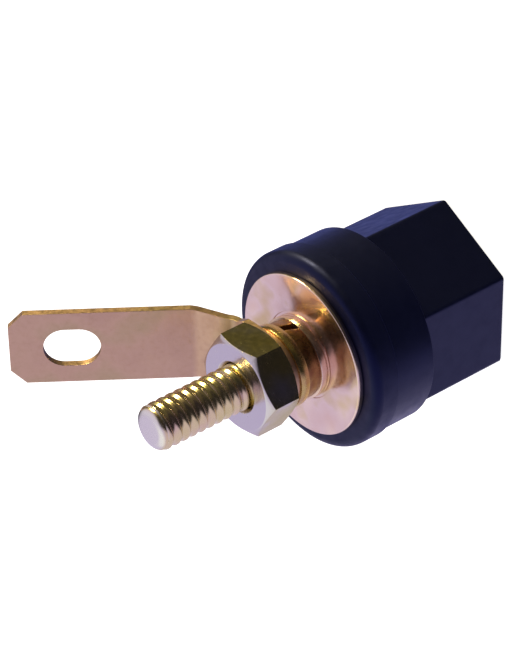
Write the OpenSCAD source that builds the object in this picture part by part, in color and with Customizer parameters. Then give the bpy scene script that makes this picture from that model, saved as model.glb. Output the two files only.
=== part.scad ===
// Insulated binding post: a turned brass post with a threaded stud at the back for the
// panel and the solder lug, and a black hexagonal clamp knob on a screw at the front.
// The origin is on the stud's axis, on the metal disc's face that bears on the panel.
// +Z runs out along the stud, +X is the side that the solder lug points to.

/* [Stud] */
// Crest diameter of the stud's thread
stud_d = 4.83; // [4:0.01:5.2]
// Length of the stud from the seat to its end
stud_len = 19.2; // [17:0.1:26]
// Chamfer on the stud's end
stud_chamfer = 0.55; // [0.2:0.05:0.8]
// Pitch of the stud's thread
thread_pitch = 1.0583; // [0.8:0.0001:1.3]
// Depth of the stud's thread
thread_depth = 0.36; // [0.2:0.01:0.6]
// Width of the thread's grooves at the crest, as a share of the pitch
groove_mouth = 0.8; // [0.6:0.05:0.9]
// Width of the thread's grooves at the root, as a share of the pitch
groove_root = 0.3; // [0.1:0.05:0.4]

/* [Front of the post] */
// Crest diameter of the clamp thread inside the knob
front_d = 7.94; // [7.4:0.01:8.6]
// Diameter of the neck that passes through the insulating base
neck_d = 6.4; // [5.6:0.1:7.2]
// Diameter of the contact flange
flange_d = 11; // [10:0.1:11.6]
// Thickness of the contact flange
flange_t = 1.4; // [1:0.1:1.8]
// Distance across the two flats that stop the flange turning
flange_flats = 9.6; // [8.8:0.1:9.8]
// Diameter of the cross hole for a bare wire
wire_hole_d = 2.8; // [2:0.1:3.2]
// Distance from the flange to the edge of the cross hole
wire_hole_offset = 0.3; // [0.2:0.05:0.6]
// Diameter of the plug socket in the end of the post
socket_d = 4; // [3.9:0.01:4.2]
// Depth of the plug socket
socket_depth = 12; // [10:0.1:12.5]
// Chamfer at the mouth of the plug socket
socket_chamfer = 0.4; // [0.2:0.05:0.6]
// Diameter of the swaged lip that stops the knob
lip_d = 8.8; // [8.7:0.05:9]
// Thickness of the swaged lip
lip_t = 0.4; // [0.3:0.05:0.6]

/* [Insulating base] */
// Outer diameter of the base
base_d = 21.2; // [20.6:0.1:24]
// Thickness of the base
base_t = 2.9; // [2.6:0.1:4]
// Radius of the rounded edge beside the disc
base_round = 1; // [0.5:0.1:1.4]
// Small chamfer on the edge that meets the knob
base_chamfer = 0.25; // [0.1:0.05:0.4]

/* [Seat disc] */
// Outer diameter of the metal disc
disc_d = 17.4; // [15:0.1:18]
// Thickness of the metal disc
disc_t = 0.7; // [0.5:0.05:1]
// Bevel on the disc's edge
disc_bevel = 0.15; // [0.05:0.05:0.2]
// Depth of the coined recess that the lower washer sits in
recess_depth = 0.1; // [0.05:0.01:0.2]
// Radial gap between the lower washer and the recess
recess_gap = 0.3; // [0.1:0.05:0.5]

/* [Washers] */
// Outer diameter of the two flat washers
washer_d = 8.8; // [8:0.1:9.4]
// Thickness of a flat washer
washer_t = 1.1; // [0.8:0.05:1.2]
// Outer diameter of the split spring washer
spring_d = 8.3; // [7.6:0.1:9]
// Thickness of the split spring washer
spring_t = 1.5; // [1:0.05:1.6]
// Width of the slit in the spring washer
spring_slit = 0.7; // [0.4:0.05:1]
// Slant of the slit from the axis, in degrees
spring_slant = 20; // [10:1:30]

/* [Solder lug] */
// Width of the lug's strip
lug_w = 8.3; // [8:0.1:9]
// Thickness of the lug's strip
lug_t = 0.8; // [0.6:0.05:1]
// Width of the waist between the ring and the tab
lug_waist = 7.3; // [6.6:0.1:7.8]
// Distance from the stud's axis to the start of the first bend
lug_base_len = 4.6; // [4.4:0.1:6]
// Slope of the strip after the first bend, in degrees
lug_rise = 33; // [20:1:40]
// Straight length between the two bends
lug_rise_len = 3.3; // [3:0.1:6]
// Slope of the tab after the second bend, in degrees
lug_tab_slope = 52; // [45:1:75]
// Straight length of the tab
lug_tab_len = 18.2; // [15:0.1:24]
// Inner radius of the first bend
lug_bend_1 = 1.4; // [1:0.1:2.2]
// Inner radius of the second bend
lug_bend_2 = 2.4; // [1:0.1:3.4]
// Length of the taper from the strip's full width to the waist
lug_taper = 1; // [0.5:0.1:1.4]
// Length of the waist
lug_waist_len = 1.5; // [0.8:0.1:2.4]
// Chamfer on the tab's corners
lug_corner = 1.55; // [0.8:0.05:2]
// Length of the slot in the tab
slot_len = 5.8; // [5.4:0.1:7]
// Width of the slot in the tab
slot_w = 4.3; // [3.4:0.1:4.8]
// Distance from the tab's end to the middle of the slot
slot_inset = 6.3; // [5.5:0.1:8]

/* [Nut] */
// Distance across the nut's flats
nut_af = 9.53; // [8.6:0.01:10.4]
// Thickness of the nut
nut_t = 4; // [3.2:0.1:4.8]
// Angle of the nut's chamfers, in degrees
nut_chamfer_angle = 30; // [20:1:35]
// How far the round edge of the nut's faces lies inside its flats
nut_face_inset = 0.15; // [0.05:0.05:0.3]
// Depth of the lead-in at both ends of the nut's bore
nut_lead = 0.35; // [0.1:0.05:0.5]

/* [Knob] */
// How far the side of the knob's collar lies inside the base's
collar_inset = 0.2; // [0:0.05:0.4]
// Height of the round collar
collar_t = 4.8; // [3.6:0.1:6]
// Rounded edge of the collar where it meets the base
collar_round = 0.35; // [0.2:0.05:0.6]
// Distance across the flats of the hexagonal head
hex_af = 17.6; // [16.6:0.1:17.8]
// Length of the hexagonal head
hex_len = 11.05; // [10.5:0.05:14]
// Bevel on the far end of the hexagonal head
hex_bevel = 0.3; // [0.1:0.05:0.6]
// Diameter of the well in the knob's end that the plug goes into
well_d = 9.5; // [9.4:0.1:10.4]
// How far the post's end lies inside the knob's end
post_recess = 0.3; // [0.1:0.05:0.6]

/* [Knob insert] */
// Diameter of the brass insert
insert_d = 12.4; // [12.1:0.1:13]
// Length of the brass insert
insert_len = 8.1; // [7:0.1:8.4]
// Depth of the groove that keys the insert in the knob
insert_groove = 0.6; // [0.3:0.05:0.9]
// Width of that groove
insert_groove_w = 1.6; // [1:0.1:2.4]

/* [Clamp washer] */
// Outer diameter of the clamp washer under the knob
clamp_d = 11; // [10:0.1:11.4]
// Thickness of the clamp washer
clamp_t = 1; // [0.8:0.05:1.2]

/* [Fits] */
// Radial play of a thread and of a sliding washer
thread_play = 0.05; // [0.02:0.01:0.08]
// Radial play of a washer, the disc and the lug on the stud
washer_play = 0.2; // [0.15:0.01:0.3]
// Play of the post in the base
base_play = 0.05; // [0.02:0.01:0.08]
// Gap between faces that turn past each other
face_gap = 0.05; // [0.02:0.01:0.08]
// Radial gap between the clamp washer and the knob
clamp_gap = 0.3; // [0.25:0.01:0.35]

/* [Hidden] */
$fn = 96;
eps = 0.01;
brass = [0.80, 0.66, 0.33];
nickel = [0.82, 0.76, 0.74];
bronze = [0.66, 0.54, 0.49];
black = [0.08, 0.08, 0.12];

// Levels in front of the seat, which is at zero, down to the knob's end
disc_back = -disc_t;
base_back = disc_back - base_t;
knob_face = base_back - face_gap;
clamp_back = knob_face - clamp_t;
insert_face = clamp_back - face_gap;
insert_back = insert_face - insert_len;
shoulder = knob_face - collar_t;
knob_end = shoulder - hex_len;
post_end = knob_end + post_recess;
lip_top = post_end + lip_t;
wire_hole_z = base_back - wire_hole_offset - wire_hole_d / 2;

// Levels behind the seat, out along the stud
lower_z = -recess_depth;
spring_z = lower_z + washer_t;
upper_z = spring_z + spring_t;
lug_z = upper_z + washer_t;
nut_z = lug_z + lug_t;

// Radii that follow from the sizes above
loose_bore = stud_d / 2 + washer_play;
recess_r = washer_d / 2 + recess_gap;
collar_r = base_d / 2 - collar_inset;
nut_bore = stud_d / 2 + thread_play;
screw_bore = front_d / 2 + thread_play;
hex_r = hex_af / 2 / cos(30);
nut_r = nut_af / 2 / cos(30);

// A ring with a square section
module ring(outer_r, inner_r, height) {
    difference() {
        cylinder(r = outer_r, h = height);
        translate([0, 0, -eps]) cylinder(r = inner_r, h = height + 2 * eps);
    }
}

// A round bar with a chamfer at its upper end
module chamfered_bar(radius, height, chamfer) {
    cylinder(r = radius, h = height - chamfer);
    translate([0, 0, height - chamfer]) cylinder(r1 = radius, r2 = radius - chamfer, h = chamfer);
}

// A disc with the same bevel on both edges
module bevelled_disc(radius, height, bevel) {
    cylinder(r1 = radius - bevel, r2 = radius, h = bevel);
    translate([0, 0, bevel]) cylinder(r = radius, h = height - 2 * bevel);
    translate([0, 0, height - bevel]) cylinder(r1 = radius, r2 = radius - bevel, h = bevel);
}

// The post is turned from one bar: stud, neck, flange with two flats, clamp thread and lip
module flange(radius, flats, height) {
    intersection() {
        cylinder(r = radius, h = height);
        translate([-radius, -flats / 2, 0]) cube([2 * radius, flats, height]);
    }
}

// The thread as a row of ring grooves, one a pitch, since they fill the same places as its turns
module thread_grooves(radius, from_z, to_z) {
    mouth = groove_mouth * thread_pitch / 2;
    root = groove_root * thread_pitch / 2;
    grooves = floor((to_z - from_z) / thread_pitch);
    for (i = [1:grooves])
        translate([0, 0, to_z - i * thread_pitch])
        rotate_extrude()
            polygon([[radius - thread_depth, -root], [radius + eps, -mouth],
                     [radius + eps, mouth], [radius - thread_depth, root]]);
}

module post() {
    color(brass)
    difference() {
        union() {
            translate([0, 0, disc_back - eps])
                chamfered_bar(stud_d / 2, stud_len - disc_back + eps, stud_chamfer);
            translate([0, 0, base_back]) cylinder(d = neck_d, h = base_t);
            translate([0, 0, base_back]) flange(flange_d / 2, flange_flats, flange_t);
            translate([0, 0, post_end]) cylinder(d = front_d, h = base_back - post_end + eps);
            translate([0, 0, post_end]) cylinder(d = lip_d, h = lip_t);
        }
        thread_grooves(stud_d / 2, 0, stud_len);
        translate([0, 0, post_end - eps]) cylinder(d = socket_d, h = socket_depth + eps);
        translate([0, 0, post_end - eps])
            cylinder(r1 = socket_d / 2 + socket_chamfer + eps, r2 = socket_d / 2, h = socket_chamfer + eps);
        translate([0, 0, wire_hole_z]) rotate([90, 0, 0])
            cylinder(d = wire_hole_d, h = 2 * front_d, center = true);
    }
}

// Moulded ring with a rounded front edge, bored for the neck and pocketed for the flange
module insulating_base() {
    outer_r = base_d / 2;
    color(black)
    difference() {
        translate([0, 0, base_back])
        rotate_extrude()
        union() {
            translate([0, base_chamfer]) square([outer_r, base_t - base_chamfer - base_round]);
            square([outer_r - base_round, base_t]);
            translate([outer_r - base_round, base_t - base_round]) circle(r = base_round);
            polygon([[0, 0], [outer_r - base_chamfer, 0], [outer_r, base_chamfer], [0, base_chamfer]]);
        }
        translate([0, 0, base_back - eps]) cylinder(r = neck_d / 2 + base_play, h = base_t + 2 * eps);
        translate([0, 0, base_back - eps])
            flange(flange_d / 2 + base_play, flange_flats + 2 * base_play, flange_t + base_play + eps);
    }
}

// Stamped and plated disc that bears on the panel
module seat_disc() {
    color(nickel)
    difference() {
        translate([0, 0, disc_back]) bevelled_disc(disc_d / 2, disc_t, disc_bevel);
        translate([0, 0, -recess_depth]) cylinder(r = recess_r, h = recess_depth + eps);
        translate([0, 0, disc_back - eps]) cylinder(r = loose_bore, h = disc_t + 2 * eps);
    }
}

module flat_washer(z) {
    translate([0, 0, z]) ring(washer_d / 2, loose_bore, washer_t);
}

module flat_washer_lower() {
    color(nickel) flat_washer(lower_z);
}

// Split ring, pressed flat under the nut, with a slanted slit
module spring_washer() {
    color(brass)
    translate([0, 0, spring_z])
    difference() {
        ring(spring_d / 2, loose_bore, spring_t);
        translate([0, -spring_d / 4 - loose_bore / 2, spring_t / 2]) rotate([0, spring_slant, 0])
            cube([spring_slit, spring_d / 2, 3 * spring_t], center = true);
    }
}

module flat_washer_upper() {
    color(nickel) flat_washer(upper_z);
}

// Solder lug: one strip bent twice, followed along its middle surface from the stud outwards
bend_1_r = lug_bend_1 + lug_t / 2;
bend_2_r = lug_bend_2 + lug_t / 2;
rise_start = [lug_base_len + bend_1_r * sin(lug_rise), bend_1_r * (1 - cos(lug_rise))];
rise_end = rise_start + lug_rise_len * [cos(lug_rise), sin(lug_rise)];
bend_2_centre = rise_end + bend_2_r * [-sin(lug_rise), cos(lug_rise)];
tab_start = bend_2_centre + bend_2_r * [sin(lug_tab_slope), -cos(lug_tab_slope)];

// A strip in the lug's side plane at a slope, drawn along +X from the given point
module on_slope(point, slope) {
    translate([point[0], 0, point[1]]) rotate([0, -slope, 0]) translate([0, 0, -lug_t / 2]) children();
}

// A bend of the strip around a centre above it, from one slope to another
module bend(centre, radius, from_slope, to_slope) {
    translate([centre[0], lug_w / 2, centre[1]]) rotate([90, 0, 0]) rotate([0, 0, from_slope - 90])
        rotate_extrude(angle = to_slope - from_slope)
            translate([radius - lug_t / 2, 0]) square([lug_t, lug_w]);
}

module lug_slot() {
    flat = slot_len - slot_w;
    translate([-flat / 2, -slot_w / 2]) square([flat, slot_w]);
    translate([-flat / 2, 0]) circle(d = slot_w);
    translate([flat / 2, 0]) circle(d = slot_w);
}

module lug_tab() {
    half = lug_w / 2;
    linear_extrude(lug_t)
    difference() {
        polygon([[-eps, -half], [lug_tab_len - lug_corner, -half], [lug_tab_len, -half + lug_corner],
                 [lug_tab_len, half - lug_corner], [lug_tab_len - lug_corner, half], [-eps, half]]);
        translate([lug_tab_len - slot_inset, 0]) lug_slot();
    }
}

// The narrowing beside the nut, cut straight down on both sides of the strip
module lug_waist_cut() {
    edge = lug_w / 2 + eps;
    outside = lug_w;
    from = lug_base_len - lug_taper;
    for (side = [-1, 1])
        scale([1, side, 1]) linear_extrude(nut_z + tab_start[1])
            polygon([[from, edge], [lug_base_len, lug_waist / 2],
                     [lug_base_len + lug_waist_len, lug_waist / 2], [tab_start[0], edge],
                     [tab_start[0], outside], [from, outside]]);
}

module solder_lug() {
    color(bronze)
    difference() {
        translate([0, 0, lug_z + lug_t / 2]) union() {
            translate([0, 0, -lug_t / 2]) cylinder(d = lug_w, h = lug_t);
            translate([0, -lug_w / 2, -lug_t / 2]) cube([lug_base_len + eps, lug_w, lug_t]);
            bend([lug_base_len, bend_1_r], bend_1_r, 0, lug_rise);
            on_slope(rise_start, lug_rise)
                translate([-eps, -lug_w / 2, 0]) cube([lug_rise_len + 2 * eps, lug_w, lug_t]);
            bend(bend_2_centre, bend_2_r, lug_rise, lug_tab_slope);
            on_slope(tab_start, lug_tab_slope) lug_tab();
        }
        translate([0, 0, lug_z - eps]) cylinder(r = loose_bore, h = lug_t + 2 * eps);
        lug_waist_cut();
    }
}

// Hexagonal nut, chamfered on both faces, with a lead-in at both ends of its bore
module nut_chamfer() {
    rise = (nut_r - nut_af / 2) * tan(nut_chamfer_angle);
    face_r = nut_af / 2 - nut_face_inset;
    cone_h = (nut_r - face_r) * tan(nut_chamfer_angle);
    cylinder(r1 = face_r, r2 = nut_r, h = cone_h);
    translate([0, 0, cone_h]) cylinder(r = nut_r, h = nut_t - cone_h + rise);
}

module hex_nut() {
    color(brass)
    translate([0, 0, nut_z])
    difference() {
        intersection() {
            cylinder(r = nut_r, h = nut_t, $fn = 6);
            nut_chamfer();
            translate([0, 0, nut_t]) mirror([0, 0, 1]) nut_chamfer();
        }
        translate([0, 0, -eps]) cylinder(r = nut_bore, h = nut_t + 2 * eps);
        translate([0, 0, -eps]) cylinder(r1 = nut_bore + nut_lead, r2 = nut_bore, h = nut_lead);
        translate([0, 0, nut_t - nut_lead + eps])
            cylinder(r1 = nut_bore, r2 = nut_bore + nut_lead, h = nut_lead);
    }
}

// Brass washer that the knob presses on the wire
module clamp_washer() {
    color(brass)
    translate([0, 0, clamp_back]) ring(clamp_d / 2, screw_bore, clamp_t);
}

// The insert's outside: two bands with a groove between that the moulding fills
module insert_body(play) {
    groove_z = insert_back + (insert_len - insert_groove_w) / 2;
    difference() {
        translate([0, 0, insert_back]) cylinder(r = insert_d / 2 + play, h = insert_len);
        translate([0, 0, groove_z]) ring(insert_d, insert_d / 2 - insert_groove + play, insert_groove_w);
    }
}

module knob_insert() {
    color(brass)
    difference() {
        insert_body(0);
        translate([0, 0, insert_back - eps]) cylinder(r = screw_bore, h = insert_len + 2 * eps);
    }
}

// Moulded knob: round collar against the base, hexagonal head beyond it
module knob() {
    color(black)
    difference() {
        union() {
            translate([0, 0, shoulder])
            rotate_extrude()
            union() {
                square([collar_r, collar_t - collar_round]);
                square([collar_r - collar_round, collar_t]);
                translate([collar_r - collar_round, collar_t - collar_round]) circle(r = collar_round);
            }
            translate([0, 0, knob_end])
            intersection() {
                rotate([0, 0, 30]) cylinder(r = hex_r, h = hex_len + eps, $fn = 6);
                union() {
                    cylinder(r1 = hex_r - hex_bevel, r2 = hex_r, h = hex_bevel);
                    translate([0, 0, hex_bevel]) cylinder(r = hex_r, h = hex_len);
                }
            }
        }
        translate([0, 0, insert_face])
            cylinder(r = clamp_d / 2 + clamp_gap, h = knob_face - insert_face + eps);
        insert_body(0);
        translate([0, 0, knob_end - eps]) cylinder(d = well_d, h = insert_back - knob_end + 2 * eps);
    }
}

post();
insulating_base();
seat_disc();
flat_washer_lower();
spring_washer();
flat_washer_upper();
solder_lug();
hex_nut();
clamp_washer();
knob_insert();
knob();
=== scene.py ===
from math import cos, pi, radians, sin, tan

import bmesh
import bpy
from mathutils import Matrix, Vector


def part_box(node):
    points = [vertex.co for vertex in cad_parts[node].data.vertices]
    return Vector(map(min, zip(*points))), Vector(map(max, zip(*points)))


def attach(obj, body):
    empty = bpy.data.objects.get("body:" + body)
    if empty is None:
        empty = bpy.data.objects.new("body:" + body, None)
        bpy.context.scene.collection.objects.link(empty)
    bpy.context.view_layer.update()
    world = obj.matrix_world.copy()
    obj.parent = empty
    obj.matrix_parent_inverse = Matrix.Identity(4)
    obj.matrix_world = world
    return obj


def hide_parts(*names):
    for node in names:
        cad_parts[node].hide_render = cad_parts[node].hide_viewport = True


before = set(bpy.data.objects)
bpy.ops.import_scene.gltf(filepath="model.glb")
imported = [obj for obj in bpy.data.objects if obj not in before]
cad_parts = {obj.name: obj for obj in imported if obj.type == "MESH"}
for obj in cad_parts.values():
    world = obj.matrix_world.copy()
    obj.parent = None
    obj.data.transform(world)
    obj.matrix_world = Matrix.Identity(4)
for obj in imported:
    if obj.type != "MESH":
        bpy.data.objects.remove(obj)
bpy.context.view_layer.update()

# ------------------------------------------------------------------ camera
# A long lens looks at the stud's end from the side, a little above it, and is rolled over,
# so the stud comes down to the left and the knob goes up to the right.
MM = 0.001
CAMERA_AIM = Vector((3.974, -2.305, 2.331)) * MM
CAMERA_DISTANCE = 291.87 * MM
CAMERA_AZIMUTH = radians(-48.286)
CAMERA_ELEVATION = radians(31.578)
CAMERA_ROLL = radians(116.119)
CAMERA_LENS = 161.19

camera_data = bpy.data.cameras.new("camera")
camera = bpy.data.objects.new("camera", camera_data)
bpy.context.collection.objects.link(camera)
sight = Vector((sin(CAMERA_AZIMUTH) * cos(CAMERA_ELEVATION),
                -cos(CAMERA_AZIMUTH) * cos(CAMERA_ELEVATION), sin(CAMERA_ELEVATION)))
level_right = Vector((0, 0, 1)).cross(sight).normalized()
level_up = sight.cross(level_right)
view_up = level_up * cos(CAMERA_ROLL) + level_right * sin(CAMERA_ROLL)
view_right = view_up.cross(sight)
turn = Matrix((view_right, view_up, sight)).transposed().to_4x4()
camera.matrix_world = Matrix.Translation(CAMERA_AIM + sight * CAMERA_DISTANCE) @ turn
camera_data.lens = CAMERA_LENS
camera_data.clip_start = 0.02
camera_data.clip_end = 5
bpy.context.scene.camera = camera


# ------------------------------------------------------------------ post
# Turned in one piece from brass bar: threaded stud, neck, flange with two flats, clamp thread
# with a cross hole for a wire, 4 mm plug socket and swaged lip. Plated, with a yellow passivation.
THREAD_PITCH = 1.0583 * MM
# the thread is drawn soft and shallow; a cut one would be about 0.65 mm deep
THREAD_DEPTH = 0.17 * MM
STUD_RADIUS = 2.415 * MM
TIP_RADIUS = 2.28 * MM
TIP_FLAT = 1.3 * MM
TIP_HEIGHT = 0.62 * MM
FRONT_RADIUS = 3.97 * MM
NECK_RADIUS = 3.2 * MM
FLANGE_RADIUS = 5.5 * MM
FLANGE_HALF_FLATS = 4.8 * MM
FLANGE_THICKNESS = 1.4 * MM
LIP_RADIUS = 4.4 * MM
LIP_THICKNESS = 0.4 * MM
SOCKET_RADIUS = 2 * MM
SOCKET_DEPTH = 12 * MM
SOCKET_CHAMFER = 0.4 * MM
CROSS_HOLE_RADIUS = 1.4 * MM
CROSS_HOLE_OFFSET = 0.3 * MM


def linear(colour):
    """A hex sRGB colour as linear RGBA."""
    parts = [int(colour[i:i + 2], 16) / 255 for i in (1, 3, 5)]
    return [c / 12.92 if c <= 0.04045 else ((c + 0.055) / 1.055) ** 2.4 for c in parts] + [1]


def add(tree, kind, links=None, **settings):
    """A node with its settings, and its inputs set to values or linked to other nodes' outputs."""
    made = tree.nodes.new(kind)
    for name, value in settings.items():
        setattr(made, name, value)
    for key, value in (links or {}).items():
        if isinstance(value, bpy.types.NodeSocket):
            tree.links.new(value, made.inputs[key])
        else:
            made.inputs[key].default_value = value
    return made


def new_material(name):
    material = bpy.data.materials.new(name)
    material.use_nodes = True
    return material, material.node_tree, material.node_tree.nodes["Principled BSDF"]


def passivated_metal(name, colours, patch_mm, roughness, lathe_marks=0.0, painted_end_reflection=None,
                     wear=0.1):
    """Bright plated metal under a thin passivation film: its tint drifts in soft patches a few
    millimetres across, faces square to the stud may get a pale painted reflection colour standing in
    for the bright room they face, fine handling marks break up the gloss, and turned faces keep tool
    rings."""
    material, tree, shader = new_material(name)
    place = add(tree, "ShaderNodeTexCoord").outputs["Object"]
    patches = add(tree, "ShaderNodeTexNoise",
                  {"Vector": place, "Scale": 1 / (patch_mm * MM), "Detail": 2.0, "Roughness": 0.5})
    ramp = add(tree, "ShaderNodeValToRGB", {"Fac": patches.outputs["Fac"]})
    while len(ramp.color_ramp.elements) < len(colours):
        ramp.color_ramp.elements.new(0.5)
    for i, colour in enumerate(colours):
        ramp.color_ramp.elements[i].position = 0.3 + 0.4 * i / (len(colours) - 1)
        ramp.color_ramp.elements[i].color = linear(colour)
    tint = ramp.outputs["Color"]
    # painted reflection: faces square to the stud are mixed towards a pale colour that stands in for
    # the bright surroundings they reflect, not for a different plating
    if painted_end_reflection:
        normal = add(tree, "ShaderNodeTexCoord").outputs["Normal"]
        facing = add(tree, "ShaderNodeSeparateXYZ", {"Vector": normal})
        painted_reflection_mask = add(tree, "ShaderNodeMath", {0: facing.outputs["Z"]}, operation="ABSOLUTE")
        share = add(tree, "ShaderNodeMapRange",
                    {"Value": painted_reflection_mask.outputs["Value"], "From Min": 0.55, "From Max": 0.9})
        tint = add(tree, "ShaderNodeMix", {"Factor": share.outputs["Result"], "A": tint,
                                           "B": linear(painted_end_reflection)}, data_type="RGBA").outputs["Result"]
    tree.links.new(tint, shader.inputs["Base Color"])
    marks = add(tree, "ShaderNodeTexNoise",
                {"Vector": place, "Scale": 1 / (0.5 * MM), "Detail": 6.0, "Roughness": 0.65})
    gloss = add(tree, "ShaderNodeMapRange",
                {"Value": marks.outputs["Fac"], "From Min": 0.35, "From Max": 0.75,
                 "To Min": roughness * 0.8, "To Max": roughness * 1.35})
    tree.links.new(gloss.outputs["Result"], shader.inputs["Roughness"])
    height = marks.outputs["Fac"]
    if lathe_marks:
        split = add(tree, "ShaderNodeSeparateXYZ", {"Vector": place})
        across = add(tree, "ShaderNodeCombineXYZ",
                     {"X": split.outputs["X"], "Y": split.outputs["Y"]})
        radius = add(tree, "ShaderNodeVectorMath", {0: across.outputs["Vector"]},
                     operation="LENGTH")
        turned_at = add(tree, "ShaderNodeMath", {0: radius.outputs["Value"], 1: split.outputs["Z"]},
                        operation="ADD")
        rings = add(tree, "ShaderNodeTexNoise",
                    {"W": turned_at.outputs["Value"], "Scale": 1 / (0.12 * MM), "Detail": 1.0},
                    noise_dimensions="1D")
        height = add(tree, "ShaderNodeMath", {0: rings.outputs["Fac"], 1: lathe_marks, 2: height},
                     operation="MULTIPLY_ADD").outputs["Value"]
    bump = add(tree, "ShaderNodeBump", {"Height": height, "Strength": wear, "Distance": 0.02 * MM})
    tree.links.new(bump.outputs["Normal"], shader.inputs["Normal"])
    shader.inputs["Metallic"].default_value = 1
    return material


def new_piece(name, mesh, body, material, slot, *replaced):
    piece = bpy.data.objects.new(name, mesh)
    bpy.context.collection.objects.link(piece)
    mesh.materials.clear()
    mesh.materials.append(material)
    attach(piece, body)
    if replaced:
        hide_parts(*replaced)
    return piece


def finish_mesh(name, shape, edge_radius=0.0, sharp_angle=30):
    """Welds a bmesh, rounds its sharp edges, and returns it as a smooth mesh whose flat faces
    stay evenly shaded beside the rounded edges."""
    bmesh.ops.remove_doubles(shape, verts=shape.verts, dist=0.0005 * MM)
    bmesh.ops.recalc_face_normals(shape, faces=shape.faces)
    if edge_radius:
        limit = radians(sharp_angle)
        sharp = [e for e in shape.edges if len(e.link_faces) == 2 and e.calc_face_angle() > limit]
        bmesh.ops.bevel(shape, geom=sharp, offset=edge_radius, segments=2, profile=0.5,
                        affect="EDGES", clamp_overlap=True)
    mesh = bpy.data.meshes.new(name)
    shape.to_mesh(mesh)
    shape.free()
    mesh.shade_smooth()
    mesh.set_sharp_from_angle(angle=radians(sharp_angle))
    holder = bpy.data.objects.new(name, mesh)
    bpy.context.collection.objects.link(holder)
    even = holder.modifiers.new("even", "WEIGHTED_NORMAL")
    even.keep_sharp = True
    depsgraph = bpy.context.evaluated_depsgraph_get()
    evened = bpy.data.meshes.new_from_object(holder.evaluated_get(depsgraph))
    bpy.data.objects.remove(holder)
    return evened


def turned(profile, steps=144):
    """A bmesh turned about Z from a closed profile of (radius, height) points.
    A radius may be a function of the angle, for flats on a turned bar."""
    shape = bmesh.new()
    rows = []
    for radius, height in profile:
        if radius == 0:
            rows.append([shape.verts.new((0, 0, height))] * steps)
            continue
        row = []
        for i in range(steps):
            angle = 2 * pi * i / steps
            reach = radius(angle) if callable(radius) else radius
            row.append(shape.verts.new((reach * cos(angle), reach * sin(angle), height)))
        rows.append(row)
    for a, b in zip(rows, rows[1:] + rows[:1]):
        for i in range(steps):
            j = (i + 1) % steps
            corners = [a[i], a[j], b[j], b[i]]
            corners = [c for k, c in enumerate(corners) if c not in corners[:k]]
            if len(corners) > 2:
                shape.faces.new(corners)
    return shape


def thread_tree():
    """Geometry nodes for the skin of a right-hand screw thread with soft crests and roots, held
    between two levels."""
    tree = bpy.data.node_groups.new("screw_thread", "GeometryNodeTree")
    face = tree.interface
    for label in ("Crest Radius", "Depth", "Pitch", "From Z", "To Z", "Chamfer"):
        face.new_socket(label, in_out="INPUT", socket_type="NodeSocketFloat")
    for label in ("Steps a Turn", "Turns"):
        face.new_socket(label, in_out="INPUT", socket_type="NodeSocketInt")
    face.new_socket("Material", in_out="INPUT", socket_type="NodeSocketMaterial")
    face.new_socket("Geometry", in_out="OUTPUT", socket_type="NodeSocketGeometry")
    given = add(tree, "NodeGroupInput").outputs

    def math(operation, *values):
        node = add(tree, "ShaderNodeMath", dict(enumerate(values)), operation=operation)
        return node.outputs["Value"]

    profile_steps = 16
    around = math("MULTIPLY", given["Steps a Turn"], given["Turns"])
    grid = add(tree, "GeometryNodeMeshGrid",
               {"Size X": 1.0, "Size Y": 1.0, "Vertices X": math("ADD", around, 1.0),
                "Vertices Y": profile_steps + 1})
    grid_point = add(tree, "GeometryNodeInputPosition").outputs[0]
    spot = add(tree, "ShaderNodeSeparateXYZ", {"Vector": grid_point})
    turn_count = math("MULTIPLY", math("ADD", spot.outputs["X"], 0.5), given["Turns"])
    phase = math("ADD", spot.outputs["Y"], 0.5)
    angle = math("MULTIPLY", turn_count, 2 * pi)
    climb = math("MULTIPLY", math("SUBTRACT", math("ADD", turn_count, phase), 1.0), given["Pitch"])
    level = math("ADD", climb, given["From Z"])
    clipped = math("MINIMUM", math("MAXIMUM", level, given["From Z"]), given["To Z"])
    # a short flat at the crest and at the root, with a soft slope between them
    from_crest = math("ABSOLUTE", math("MULTIPLY_ADD", phase, 2.0, -1.0))
    sink = add(tree, "ShaderNodeMapRange",
               {"Value": from_crest, "From Min": 0.1, "From Max": 0.85,
                "To Min": 0.0, "To Max": 1.0}, interpolation_type="SMOOTHSTEP")
    sunk = math("MULTIPLY", sink.outputs["Result"], given["Depth"])
    radius = math("SUBTRACT", given["Crest Radius"], sunk)
    end_gap = math("MINIMUM", math("SUBTRACT", given["To Z"], clipped), given["Chamfer"])
    end_radius = math("SUBTRACT", given["Crest Radius"],
                      math("SUBTRACT", given["Chamfer"], end_gap))
    reach = math("MINIMUM", radius, end_radius)
    point = add(tree, "ShaderNodeCombineXYZ", {"X": math("MULTIPLY", reach, math("COSINE", angle)),
                                               "Y": math("MULTIPLY", reach, math("SINE", angle)),
                                               "Z": clipped})
    wound = add(tree, "GeometryNodeSetPosition", {"Geometry": grid.outputs["Mesh"],
                                                  "Position": point.outputs["Vector"]})
    welded = add(tree, "GeometryNodeMergeByDistance", {"Geometry": wound.outputs["Geometry"],
                                                       "Distance": 0.001 * MM})
    real = add(tree, "GeometryNodeRealizeInstances", {"Geometry": welded.outputs["Geometry"]})
    dressed = add(tree, "GeometryNodeSetMaterial", {"Geometry": real.outputs["Geometry"],
                                                    "Material": given["Material"]})
    add(tree, "NodeGroupOutput", {"Geometry": dressed.outputs["Geometry"]})
    return tree


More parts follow.
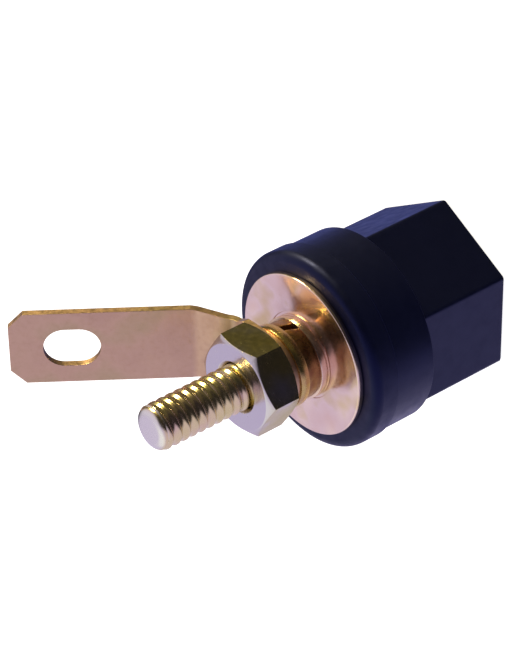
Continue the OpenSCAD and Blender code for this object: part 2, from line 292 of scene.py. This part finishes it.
def threaded_bar(tree, crest_radius, depth, pitch, from_z, to_z, chamfer, material):
    """A closed threaded bar as a bmesh. The node tree winds it a pitch too long at each end that
    has no chamfer, and it is cut off square there."""
    holder = bpy.data.objects.new("thread", bpy.data.meshes.new("thread"))
    bpy.context.collection.objects.link(holder)
    wind = holder.modifiers.new("wind", "NODES")
    wind.node_group = tree
    wound_from = from_z - pitch
    wound_to = to_z if chamfer else to_z + pitch
    values = {"Crest Radius": crest_radius, "Depth": depth, "Pitch": pitch, "From Z": wound_from,
              "To Z": wound_to, "Chamfer": chamfer, "Steps a Turn": 72,
              "Turns": int((wound_to - wound_from) / pitch) + 3, "Material": material}
    for item in tree.interface.items_tree:
        if item.in_out == "INPUT":
            wind[item.identifier] = values[item.name]
    depsgraph = bpy.context.evaluated_depsgraph_get()
    mesh = bpy.data.meshes.new_from_object(holder.evaluated_get(depsgraph))
    holder.modifiers.remove(wind)
    bpy.data.objects.remove(holder)
    shape = bmesh.new()
    shape.from_mesh(mesh)
    bpy.data.meshes.remove(mesh)
    bmesh.ops.remove_doubles(shape, verts=shape.verts, dist=0.001 * MM)
    bmesh.ops.dissolve_degenerate(shape, edges=shape.edges, dist=0.0005 * MM)
    ends = [(from_z, -1)] if chamfer else [(from_z, -1), (to_z, 1)]
    for level, outward in ends:
        bmesh.ops.bisect_plane(shape, geom=shape.verts[:] + shape.edges[:] + shape.faces[:],
                               plane_co=(0, 0, level), plane_no=(0, 0, outward),
                               dist=0.0005 * MM, clear_outer=True)
    open_edges = [e for e in shape.edges if len(e.link_faces) == 1]
    bmesh.ops.holes_fill(shape, edges=open_edges, sides=0)
    bmesh.ops.recalc_face_normals(shape, faces=shape.faces)
    return shape


def cut(shape, *cutters):
    """The shape with the cutters taken out of it."""
    def as_object(part, name):
        mesh = bpy.data.meshes.new(name)
        part.to_mesh(mesh)
        part.free()
        made = bpy.data.objects.new(name, mesh)
        bpy.context.collection.objects.link(made)
        return made

    whole = as_object(shape, "whole")
    tools = [as_object(cutter, "cutter") for cutter in cutters]
    for tool in tools:
        step = whole.modifiers.new("cut", "BOOLEAN")
        step.operation = "DIFFERENCE"
        step.solver = "EXACT"
        step.object = tool
    depsgraph = bpy.context.evaluated_depsgraph_get()
    mesh = bpy.data.meshes.new_from_object(whole.evaluated_get(depsgraph))
    for made in [whole, *tools]:
        bpy.data.objects.remove(made)
    result = bmesh.new()
    result.from_mesh(mesh)
    bpy.data.meshes.remove(mesh)
    return result


def joined(*shapes):
    whole = bmesh.new()
    for shape in shapes:
        mesh = bpy.data.meshes.new("part")
        shape.to_mesh(mesh)
        shape.free()
        whole.from_mesh(mesh)
        bpy.data.meshes.remove(mesh)
    return whole


STUD_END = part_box("post")[1][2]
POST_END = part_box("post")[0][2]
BASE_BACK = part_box("insulating_base")[0][2]
DISC_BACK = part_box("seat_disc")[0][2]
LIP_TOP = POST_END + LIP_THICKNESS
OVERLAP = 0.02 * MM

# the stud's faces square to its axis get a pale lilac grey as painted reflection
stud_gold = passivated_metal("yellow_passivated_plating",
                             ["#dccf92", "#e6d3a6", "#e0c3b0"], 3.0, 0.24,
                             lathe_marks=0.4, painted_end_reflection="#e2dcd8")
thread = thread_tree()
thread_end = STUD_END - TIP_HEIGHT * 0.9
stud = threaded_bar(thread, STUD_RADIUS, THREAD_DEPTH, THREAD_PITCH,
                    DISC_BACK - OVERLAP, thread_end,
                    STUD_RADIUS - TIP_RADIUS + OVERLAP, stud_gold)
stud_tip = turned([(0, STUD_END - MM), (TIP_FLAT, STUD_END - MM)]
                  + [(TIP_FLAT + (TIP_RADIUS - TIP_FLAT) * cos(radians(a)),
                      STUD_END - TIP_HEIGHT * (1 - sin(radians(a)))) for a in range(0, 91, 15)]
                  + [(0, STUD_END)])


def flange_reach(angle):
    across = abs(sin(angle))
    if across * FLANGE_RADIUS < FLANGE_HALF_FLATS:
        return FLANGE_RADIUS
    return FLANGE_HALF_FLATS / across


neck = turned([(0, BASE_BACK - OVERLAP), (NECK_RADIUS, BASE_BACK - OVERLAP),
               (NECK_RADIUS, DISC_BACK),
               (0, DISC_BACK)])
flange_front = BASE_BACK + FLANGE_THICKNESS
flange = turned([(0, BASE_BACK), (flange_reach, BASE_BACK), (flange_reach, flange_front),
                 (0, flange_front)])
clamp_bar = threaded_bar(thread, FRONT_RADIUS, THREAD_DEPTH, THREAD_PITCH, POST_END + OVERLAP,
                         BASE_BACK + OVERLAP, 0.0, stud_gold)
lip = turned([(0, POST_END), (LIP_RADIUS - 0.1 * MM, POST_END), (LIP_RADIUS, POST_END + 0.1 * MM),
              (LIP_RADIUS, LIP_TOP), (0, LIP_TOP)])
socket_floor = POST_END + SOCKET_DEPTH
socket_cutter = [(0, POST_END - MM), (SOCKET_RADIUS + SOCKET_CHAMFER, POST_END - MM),
                 (SOCKET_RADIUS + SOCKET_CHAMFER, POST_END),
                 (SOCKET_RADIUS, POST_END + SOCKET_CHAMFER), (SOCKET_RADIUS, socket_floor),
                 (0, socket_floor)]
drill_reach = 6 * MM
cross_hole = turned([(0, -drill_reach), (CROSS_HOLE_RADIUS, -drill_reach),
                     (CROSS_HOLE_RADIUS, drill_reach), (0, drill_reach)], 48)
hole_level = BASE_BACK - CROSS_HOLE_OFFSET - CROSS_HOLE_RADIUS
bmesh.ops.transform(cross_hole, verts=cross_hole.verts,
                    matrix=Matrix.Translation((0, 0, hole_level)) @ Matrix.Rotation(pi / 2, 4, "X"))
clamp_bar = cut(clamp_bar, turned(socket_cutter), cross_hole)
lip = cut(lip, turned(socket_cutter))
post_mesh = finish_mesh("post_turned", joined(stud, stud_tip, neck, flange, clamp_bar, lip), 0, 40)
new_piece("post_turned", post_mesh, "post_body", stud_gold, "plated_brass", "post")


# ------------------------------------------------------------------ insulating base
# Moulded in black plastic: a plain ring with a rounded front edge, bored for the post's neck.
BASE_ROUND = 1.0 * MM
BASE_EDGE = 0.06 * MM
NECK_PLAY = 0.05 * MM


def arc(centre, radius, start, end, steps=6):
    """Points (radius, height) on an arc of a profile, from one angle to another in degrees."""
    return [(centre[0] + radius * cos(radians(start + (end - start) * i / steps)),
             centre[1] + radius * sin(radians(start + (end - start) * i / steps)))
            for i in range(steps + 1)]


def black_plastic(name, grain_mm, roughness):
    """Gloss black moulded plastic: deep black with a cool sheen, slightly dulled by handling and
    with the faint orange peel of a moulded face."""
    material, tree, shader = new_material(name)
    place = add(tree, "ShaderNodeTexCoord").outputs["Object"]
    cloud = add(tree, "ShaderNodeTexNoise", {"Vector": place, "Scale": 1 / (4 * MM), "Detail": 4.0})
    tint = add(tree, "ShaderNodeMix", {"Factor": cloud.outputs["Fac"], "A": linear("#070812"),
                                       "B": linear("#090b19")}, data_type="RGBA")
    tree.links.new(tint.outputs["Result"], shader.inputs["Base Color"])
    wear = add(tree, "ShaderNodeTexNoise",
               {"Vector": place, "Scale": 1 / (1.2 * MM), "Detail": 5.0})
    gloss = add(tree, "ShaderNodeMapRange", {"Value": wear.outputs["Fac"],
                                             "From Min": 0.3, "From Max": 0.7,
                                             "To Min": roughness * 0.85, "To Max": roughness * 1.2})
    tree.links.new(gloss.outputs["Result"], shader.inputs["Roughness"])
    peel = add(tree, "ShaderNodeTexNoise",
               {"Vector": place, "Scale": 1 / (grain_mm * MM), "Detail": 3.0})
    bump = add(tree, "ShaderNodeBump", {"Height": peel.outputs["Fac"], "Strength": 0.15,
                                        "Distance": 0.02 * MM})
    tree.links.new(bump.outputs["Normal"], shader.inputs["Normal"])
    shader.inputs["IOR"].default_value = 1.5
    shader.inputs["Specular IOR Level"].default_value = 0.45
    shader.inputs["Sheen Weight"].default_value = 0.12
    shader.inputs["Sheen Roughness"].default_value = 0.4
    shader.inputs["Sheen Tint"].default_value = linear("#4a58ff")
    shader.inputs["Specular Tint"].default_value = linear("#7885ff")
    return material


base_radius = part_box("insulating_base")[1][0]
base_profile = [(NECK_RADIUS + NECK_PLAY, BASE_BACK + FLANGE_THICKNESS),
                (FLANGE_RADIUS + NECK_PLAY, BASE_BACK + FLANGE_THICKNESS),
                (FLANGE_RADIUS + NECK_PLAY, BASE_BACK)]
base_profile += [(base_radius - BASE_EDGE, BASE_BACK), (base_radius, BASE_BACK + BASE_EDGE)]
base_profile += arc((base_radius - BASE_ROUND, DISC_BACK - BASE_ROUND), BASE_ROUND, 0, 90, 10)
base_profile += [(NECK_RADIUS + NECK_PLAY, DISC_BACK)]
base_plastic = black_plastic("moulded_black_base", 0.35, 0.42)
base_mesh = finish_mesh("base_moulded", turned(base_profile, 192), 0, 32)
new_piece("base_moulded", base_mesh, "post_body", base_plastic, "black_plastic",
          "insulating_base")


# ------------------------------------------------------------------ seat disc
# Stamped from sheet, polished and plated: a flat ring with its edge rolled over by the stamping.
DISC_EDGE = 0.15 * MM
RECESS_RADIUS = 4.7 * MM
RECESS_DEPTH = 0.1 * MM
RECESS_WALL = 0.05 * MM
WAVE_LENGTH = 6 * MM
WAVE_HEIGHT = 0.5 * MM
HOLE_RADIUS = 2.615 * MM

disc_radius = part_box("seat_disc")[1][0]
disc_profile = [(HOLE_RADIUS, DISC_BACK), (disc_radius - DISC_EDGE, DISC_BACK)]
disc_profile += arc((disc_radius - DISC_EDGE, DISC_BACK + DISC_EDGE), DISC_EDGE, -90, 0, 4)
disc_profile += arc((disc_radius - DISC_EDGE, -DISC_EDGE), DISC_EDGE, 0, 90, 4)
disc_profile += [(RECESS_RADIUS, 0), (RECESS_RADIUS - RECESS_WALL, -RECESS_DEPTH),
                 (HOLE_RADIUS, -RECESS_DEPTH)]
disc_metal = passivated_metal("polished_disc_plating", ["#e8c9ba", "#edd4c8", "#dcc294"], 4.0, 0.2,
                              wear=0.04)
disc_tree = disc_metal.node_tree
fine_bump = disc_tree.nodes["Bump"]
# the stamping leaves the sheet slightly wavy, which bends what it reflects
waves = add(disc_tree, "ShaderNodeTexNoise",
            {"Vector": add(disc_tree, "ShaderNodeTexCoord").outputs["Object"],
             "Scale": 1 / WAVE_LENGTH, "Detail": 1.0})
dished = add(disc_tree, "ShaderNodeBump",
             {"Height": waves.outputs["Fac"], "Strength": 1.0, "Distance": WAVE_HEIGHT,
              "Normal": fine_bump.outputs["Normal"]})
disc_tree.links.new(dished.outputs["Normal"], disc_tree.nodes["Principled BSDF"].inputs["Normal"])
disc_mesh = finish_mesh("disc_stamped", turned(disc_profile, 192), 0, 40)
new_piece("disc_stamped", disc_mesh, "post_body", disc_metal, "plated_disc", "seat_disc")


# ------------------------------------------------------------------ washers
# Two stamped flat washers with a split spring washer between them, all plated; the spring washer's dark
# brown is partly its duller plating and partly painted shade of the gap between the washers.
WASHER_EDGE = 0.12 * MM
SLIT_WIDTH = 0.7 * MM
SLIT_SLANT = radians(20)

washer_metal = passivated_metal("bright_washer_plating",
                                ["#cba58c", "#c9b070", "#b98a6e"], 2.5, 0.25)
lower_metal = passivated_metal("polished_washer_plating",
                               ["#e2c2b0", "#e6cbbb", "#d8bd92"], 3.0, 0.22)
# painted shade: the spring washer's dark brown is partly a duller plating and partly the shade of the
# narrow gap between the washers, painted into its colour
spring_metal_painted_shade = passivated_metal("spring_plating_painted_shade", ["#8c5f48", "#a07a52", "#7c4a38"], 2.5, 0.3)
for node, finish in (("flat_washer_lower", lower_metal), ("flat_washer_upper", washer_metal)):
    low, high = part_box(node)
    washer = turned([(HOLE_RADIUS, low[2]), (high[0], low[2]), (high[0], high[2]),
                     (HOLE_RADIUS, high[2])])
    washer_mesh = finish_mesh(node + "_stamped", washer, WASHER_EDGE)
    new_piece(node + "_stamped", washer_mesh, "washer_stack", finish, "plated_disc", node)

low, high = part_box("spring_washer")
ring_middle = (high[0] + HOLE_RADIUS) / 2
split_ring = bmesh.new()
sections = []
SPLIT_STEPS = 120
for i in range(SPLIT_STEPS + 1):
    share = i / SPLIT_STEPS
    section = []
    for radius, height in ((HOLE_RADIUS, low[2]), (high[0], low[2]), (high[0], high[2]),
                           (HOLE_RADIUS, high[2])):
        lean = (height - (low[2] + high[2]) / 2) * tan(SLIT_SLANT)
        half_gap = SLIT_WIDTH / 2
        start = -pi / 2 + (half_gap + lean) / ring_middle
        end = 3 * pi / 2 - (half_gap - lean) / ring_middle
        angle = start + (end - start) * share
        section.append(split_ring.verts.new((radius * cos(angle), radius * sin(angle), height)))
    sections.append(section)
for a, b in zip(sections, sections[1:]):
    for i in range(4):
        split_ring.faces.new((a[i], a[(i + 1) % 4], b[(i + 1) % 4], b[i]))
split_ring.faces.new(sections[0])
split_ring.faces.new(sections[-1])
spring_mesh = finish_mesh("spring_washer_split", split_ring, WASHER_EDGE)
new_piece("spring_washer_split", spring_mesh, "washer_stack", spring_metal_painted_shade, "plated_brass",
          "spring_washer")


# ------------------------------------------------------------------ solder lug
# Blanked from strip with its slot and hole, then bent twice over a tool, and left satin.
LUG_WIDTH = 8.3 * MM
LUG_WAIST = 7.3 * MM
LUG_TAPER = 1.0 * MM
LUG_WAIST_LENGTH = 1.5 * MM
LUG_BASE = 4.6 * MM
LUG_RISE = radians(33)
LUG_RISE_LENGTH = 3.3 * MM
LUG_TAB_SLOPE = radians(52)
LUG_TAB_LENGTH = 18.2 * MM
LUG_BEND_1 = 1.4 * MM
LUG_BEND_2 = 2.4 * MM
LUG_CORNER = 1.55 * MM
SLOT_LENGTH = 5.8 * MM
SLOT_WIDTH = 4.3 * MM
SLOT_INSET = 6.3 * MM
LUG_EDGE = 0.3 * MM

lug_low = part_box("solder_lug")[0]
lug_back = lug_low[2]
lug_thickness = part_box("hex_nut")[0][2] - lug_back
bend_1 = (LUG_BEND_1 + lug_thickness / 2) * LUG_RISE
bend_2 = (LUG_BEND_2 + lug_thickness / 2) * (LUG_TAB_SLOPE - LUG_RISE)
marks = [LUG_BASE, bend_1, LUG_RISE_LENGTH, bend_2, LUG_TAB_LENGTH]
stations = [sum(marks[:i + 1]) for i in range(len(marks))]
blank_end = stations[-1]


def bent(along, across, depth):
    """A point of the flat blank, carried to its place on the bent lug. Depth is measured from
    the back face."""
    offset = depth - lug_thickness / 2
    x, z, slope, left = 0.0, 0.0, 0.0, along
    for length, rise in ((LUG_BASE, 0), (bend_1, LUG_RISE), (LUG_RISE_LENGTH, 0),
                         (bend_2, LUG_TAB_SLOPE - LUG_RISE), (LUG_TAB_LENGTH, 0)):
        step = min(left, length) if length != LUG_TAB_LENGTH else left
        if step < 0 and x == 0:
            step = left
        if rise and step > 0:
            radius = length / rise
            turned_by = step / radius
            x += radius * (sin(slope + turned_by) - sin(slope))
            z += radius * (cos(slope) - cos(slope + turned_by))
            slope += turned_by
        else:
            x += step * cos(slope)
            z += step * sin(slope)
        left -= step
        if left <= 0:
            break
    return Vector((x - offset * sin(slope), across,
                   z + offset * cos(slope) + lug_back + lug_thickness / 2))


half = LUG_WIDTH / 2
waist = LUG_WAIST / 2
waist_start = LUG_BASE - LUG_TAPER
taper_end = stations[3]
upper_edge = [(waist_start, half), (LUG_BASE, waist), (LUG_BASE + LUG_WAIST_LENGTH, waist),
              (taper_end, half), (blank_end - LUG_CORNER, half), (blank_end, half - LUG_CORNER)]
outline = [(x, -y) for x, y in upper_edge] + upper_edge[::-1]
ring_arc = [(half * cos(radians(a)), half * sin(radians(a))) for a in range(90, 271, 6)]
outline += ring_arc
slot_centre = blank_end - SLOT_INSET
slot_flat = (SLOT_LENGTH - SLOT_WIDTH) / 2
slot_radius = SLOT_WIDTH / 2
slot = [(slot_centre + slot_flat + slot_radius * cos(radians(a)), slot_radius * sin(radians(a)))
        for a in range(-90, 91, 10)]
slot += [(slot_centre - slot_flat + slot_radius * cos(radians(a)), slot_radius * sin(radians(a)))
         for a in range(90, 271, 10)]
stud_hole = [(HOLE_RADIUS * cos(radians(a)), HOLE_RADIUS * sin(radians(a)))
             for a in range(0, 360, 6)]

blank = bmesh.new()
for loop in (outline, slot, stud_hole):
    corners = [blank.verts.new((x, y, 0)) for x, y in loop]
    for a, b in zip(corners, corners[1:] + corners[:1]):
        blank.edges.new((a, b))
bmesh.ops.triangle_fill(blank, use_beauty=True, edges=blank.edges)
cuts = [LUG_BASE * 0.5] + [LUG_BASE + bend_1 * i / 10 for i in range(11)]
cuts += [stations[2] + bend_2 * i / 10 for i in range(11)]
for place in cuts:
    bmesh.ops.bisect_plane(blank, geom=blank.verts[:] + blank.edges[:] + blank.faces[:],
                           plane_co=(place, 0, 0), plane_no=(1, 0, 0), dist=0.001 * MM)
bmesh.ops.recalc_face_normals(blank, faces=blank.faces)
if blank.faces[0].normal.z < 0:
    bmesh.ops.reverse_faces(blank, faces=blank.faces)
back_faces = blank.faces[:]
grown = bmesh.ops.extrude_face_region(blank, geom=back_faces)
raised = [v for v in grown["geom"] if isinstance(v, bmesh.types.BMVert)]
bmesh.ops.translate(blank, verts=raised, vec=(0, 0, lug_thickness))
bmesh.ops.reverse_faces(blank, faces=back_faces)
bmesh.ops.recalc_face_normals(blank, faces=blank.faces)
rim = [e for e in blank.edges if len(e.link_faces) == 2 and e.calc_face_angle() > radians(60)]
rim = [e for e in rim if abs(e.verts[0].co.z - e.verts[1].co.z) < 0.001 * MM]
bmesh.ops.bevel(blank, geom=rim, offset=LUG_EDGE, segments=3, profile=0.5, affect="EDGES",
                clamp_overlap=True)
for v in blank.verts:
    v.co = bent(v.co.x, v.co.y, v.co.z)
lug_bronze = passivated_metal("satin_passivated_strip",
                              ["#c8a48e", "#ceab92", "#bfa884"], 6.0, 0.42,
                              wear=0.05)
lug_mesh = finish_mesh("lug_bent", blank, 0, 12)
new_piece("lug_bent", lug_mesh, "lug", lug_bronze, "lug_bronze", "solder_lug")


# ------------------------------------------------------------------ hexagonal nut
# Cut from hexagonal bar: chamfered at both faces, with the bore countersunk, and plated.
NUT_FACE_INSET = 0.15 * MM
NUT_CHAMFER = radians(30)
NUT_BORE = 2.465 * MM
NUT_LEAD = 0.35 * MM
NUT_EDGE = 0.2 * MM

nut_low, nut_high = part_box("hex_nut")
nut_half = nut_high[1]
nut_corner = nut_half / cos(pi / 6)
face_radius = nut_half - NUT_FACE_INSET
nut = turned([(0, nut_low[2]), (nut_corner, nut_low[2]), (nut_corner, nut_high[2]),
              (0, nut_high[2])], 6)
bmesh.ops.dissolve_limit(nut, angle_limit=radians(1), verts=nut.verts, edges=nut.edges)
bmesh.ops.recalc_face_normals(nut, faces=nut.faces)
outside = nut_corner * 1.5
drop = (outside - face_radius) * tan(NUT_CHAMFER)
top_cutter = turned([(face_radius, nut_high[2]), (face_radius, nut_high[2] + drop),
                     (outside, nut_high[2] + drop), (outside, nut_high[2] - drop)], 192)
low_cutter = turned([(face_radius, nut_low[2]), (outside, nut_low[2] + drop),
                     (outside, nut_low[2] - drop),
                     (face_radius, nut_low[2] - drop)], 192)
for cutter in (top_cutter, low_cutter):
    bmesh.ops.recalc_face_normals(cutter, faces=cutter.faces)
countersink = NUT_BORE + NUT_LEAD + MM
bore_cutter = turned([(0, nut_low[2] - MM), (countersink, nut_low[2] - MM),
                      (NUT_BORE, nut_low[2] + NUT_LEAD), (NUT_BORE, nut_high[2] - NUT_LEAD),
                      (countersink, nut_high[2] + MM), (0, nut_high[2] + MM)], 96)
bmesh.ops.recalc_face_normals(bore_cutter, faces=bore_cutter.faces)
nut = cut(nut, top_cutter, low_cutter, bore_cutter)
# the nut's end faces get a pale lilac grey as painted reflection, while its flats keep the olive
# plating colours
nut_metal = passivated_metal("passivated_nut_plating", ["#bdae6a", "#c4b68a", "#c3bcd8"], 5.0, 0.22,
                             painted_end_reflection="#cdc6cc")
nut_mesh = finish_mesh("nut_hex", nut, NUT_EDGE, 20)
new_piece("nut_hex", nut_mesh, "nut", nut_metal, "plated_brass", "hex_nut")


# ------------------------------------------------------------------ clamp washer and insert
# Turned brass pieces inside the knob: the washer bears on the wire, the insert carries the thread.
for node in ("clamp_washer", "knob_insert"):
    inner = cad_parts[node]
    inner.data.materials.clear()
    inner.data.materials.append(stud_gold)


# ------------------------------------------------------------------ knob
# One moulding in gloss black plastic: a round collar against the base and a hexagonal head, with
# a round well in its end where the plug goes in.
COLLAR_HEIGHT = 4.8 * MM
COLLAR_EDGE = 0.08 * MM
HEAD_FLATS = 17.6 * MM
HEAD_EDGE = 0.3 * MM
HEAD_CORNER = 0.35 * MM
WELL_RADIUS = 4.75 * MM
INSERT_RADIUS = 6.2 * MM
WASHER_POCKET = 5.8 * MM

knob_low, knob_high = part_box("knob")
collar_radius = knob_high[1]
shoulder = knob_high[2] - COLLAR_HEIGHT
head_half = HEAD_FLATS / 2
insert_low, insert_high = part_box("knob_insert")


def head_reach(inset=0.0):
    """The head's radius at an angle: a hexagon with its corners slightly rounded."""
    apothem = head_half - inset
    corner = HEAD_CORNER

    def reach(angle):
        turn_in = (angle + pi / 6) % (pi / 3) - pi / 6
        flat = apothem / cos(turn_in)
        to_centre = (apothem - corner) / cos(pi / 6)
        away = abs(abs(turn_in) - pi / 6)
        limit = corner * sin(pi / 6)
        if to_centre * sin(away) < limit and to_centre * sin(away) < corner:
            round_reach = to_centre * cos(away) + (corner ** 2 - (to_centre * sin(away)) ** 2) ** 0.5
            return min(flat, round_reach)
        return flat
    return reach


knob_profile = [(INSERT_RADIUS, insert_low[2]), (WELL_RADIUS, insert_low[2]),
                (WELL_RADIUS, knob_low[2] + HEAD_EDGE)]
knob_profile += [(WELL_RADIUS + HEAD_EDGE * (1 - cos(radians(a))),
                  knob_low[2] + HEAD_EDGE * (1 - sin(radians(a)))) for a in (30, 60, 90)]
knob_profile += [(head_reach(HEAD_EDGE * (1 - sin(radians(a)))),
                  knob_low[2] + HEAD_EDGE * (1 - cos(radians(a)))) for a in (0, 22, 45, 68, 90)]
knob_profile += [(head_reach(), shoulder)]
knob_profile += arc((collar_radius - COLLAR_EDGE, shoulder + COLLAR_EDGE), COLLAR_EDGE, -90, 0, 5)
knob_profile += arc((collar_radius - COLLAR_EDGE, knob_high[2] - COLLAR_EDGE), COLLAR_EDGE,
                    0, 90, 5)
knob_profile += [(WASHER_POCKET, knob_high[2]), (WASHER_POCKET, insert_high[2]),
                 (INSERT_RADIUS, insert_high[2])]
knob_plastic = black_plastic("moulded_black_knob", 0.35, 0.36)
knob_mesh = finish_mesh("knob_moulded", turned(knob_profile, 360), 0, 32)
new_piece("knob_moulded", knob_mesh, "knob_body", knob_plastic, "black_plastic", "knob")


# ------------------------------------------------------------------ floor and light
# A plain pale floor just under the knob's end. The room is dim, with a dull warm wash above, a
# cool glow behind and pale fields below and to the left of the view. One soft warm light stands
# up and to the left.
FLOOR_SIZE = 3.0
FLOOR_GAP = 0.02 * MM
floor_mesh = bpy.data.meshes.new("floor")
floor_shape = bmesh.new()
bmesh.ops.create_grid(floor_shape, x_segments=1, y_segments=1, size=FLOOR_SIZE)
bmesh.ops.translate(floor_shape, verts=floor_shape.verts, vec=(0, 0, knob_low[2] - FLOOR_GAP))
floor_shape.to_mesh(floor_mesh)
floor_shape.free()
floor_piece = bpy.data.objects.new("floor", floor_mesh)
bpy.context.collection.objects.link(floor_piece)
floor_material, floor_tree, floor_shader = new_material("pale_paper")
floor_shader.inputs["Base Color"].default_value = linear("#f4f4f4")
floor_shader.inputs["Roughness"].default_value = 0.9
floor_shader.inputs["Specular IOR Level"].default_value = 0.1
floor_shader.inputs["Emission Color"].default_value = linear("#ffffff")
floor_shader.inputs["Emission Strength"].default_value = 0.85
# seen from underneath, the floor is clear, so that the knob's end shows
under = add(floor_tree, "ShaderNodeNewGeometry").outputs["Backfacing"]
clear = add(floor_tree, "ShaderNodeBsdfTransparent").outputs["BSDF"]
one_sided = add(floor_tree, "ShaderNodeMixShader",
                {"Fac": under, 1: floor_shader.outputs["BSDF"], 2: clear})
floor_tree.links.new(one_sided.outputs["Shader"],
                     floor_tree.nodes["Material Output"].inputs["Surface"])
floor_mesh.materials.append(floor_material)
floor_piece.visible_glossy = False

world = bpy.data.worlds.new("studio")
bpy.context.scene.world = world
world.use_nodes = True
sky = world.node_tree
for old in list(sky.nodes):
    sky.nodes.remove(old)
direction = add(sky, "ShaderNodeTexCoord").outputs["Generated"]
wash = linear("#2c2a2c")
for side, start, full, colour in ((view_up, 0.3, 0.9, "#565240"),
                                  (view_up * 0.35 - sight, 0.85, 0.98, "#7d86cc"),
                                  (-view_right, 0.6, 0.92, "#e6e0f0"),
                                  (-view_up - sight * 0.2, 0.15, 0.45, "#dad1ee"),
                                  (-view_up * 0.8 - view_right * 0.6, 0.8, 0.97, "#ffffff")):
    toward = add(sky, "ShaderNodeVectorMath", {0: direction, 1: side.normalized()},
                 operation="DOT_PRODUCT")
    level = add(sky, "ShaderNodeMapRange",
                {"Value": toward.outputs["Value"], "From Min": start, "From Max": full},
                interpolation_type="SMOOTHSTEP")
    wash = add(sky, "ShaderNodeMix",
               {"Factor": level.outputs["Result"], "A": wash, "B": linear(colour)},
               data_type="RGBA").outputs["Result"]
glow = add(sky, "ShaderNodeBackground", {"Color": wash, "Strength": 1.0})
pale = add(sky, "ShaderNodeBackground", {"Color": linear("#fafafa"), "Strength": 1.0})
seen = add(sky, "ShaderNodeLightPath")
both = add(sky, "ShaderNodeMixShader",
           {"Fac": seen.outputs["Is Camera Ray"], 1: glow.outputs["Background"],
            2: pale.outputs["Background"]})
add(sky, "ShaderNodeOutputWorld", {"Surface": both.outputs["Shader"]})


def soft_light(name, direction, distance, size, watts, colour):
    """An area light at a distance from the stud, facing it."""
    data = bpy.data.lights.new(name, "AREA")
    data.shape = "RECTANGLE"
    data.size, data.size_y = size
    data.energy = watts
    data.color = linear(colour)[:3]
    light = bpy.data.objects.new(name, data)
    bpy.context.collection.objects.link(light)
    aim = Vector(direction).normalized()
    light.location = aim * distance
    light.rotation_mode = "QUATERNION"
    light.rotation_quaternion = aim.to_track_quat("Z", "Y")
    return light


soft_light("warm_strip", view_up * 0.84 + sight * 0.12 - view_right * 0.5, distance=0.5,
           size=(0.16, 0.16), watts=3.0, colour="#fff0a8")
bpy.context.scene.view_settings.view_transform = "Standard"
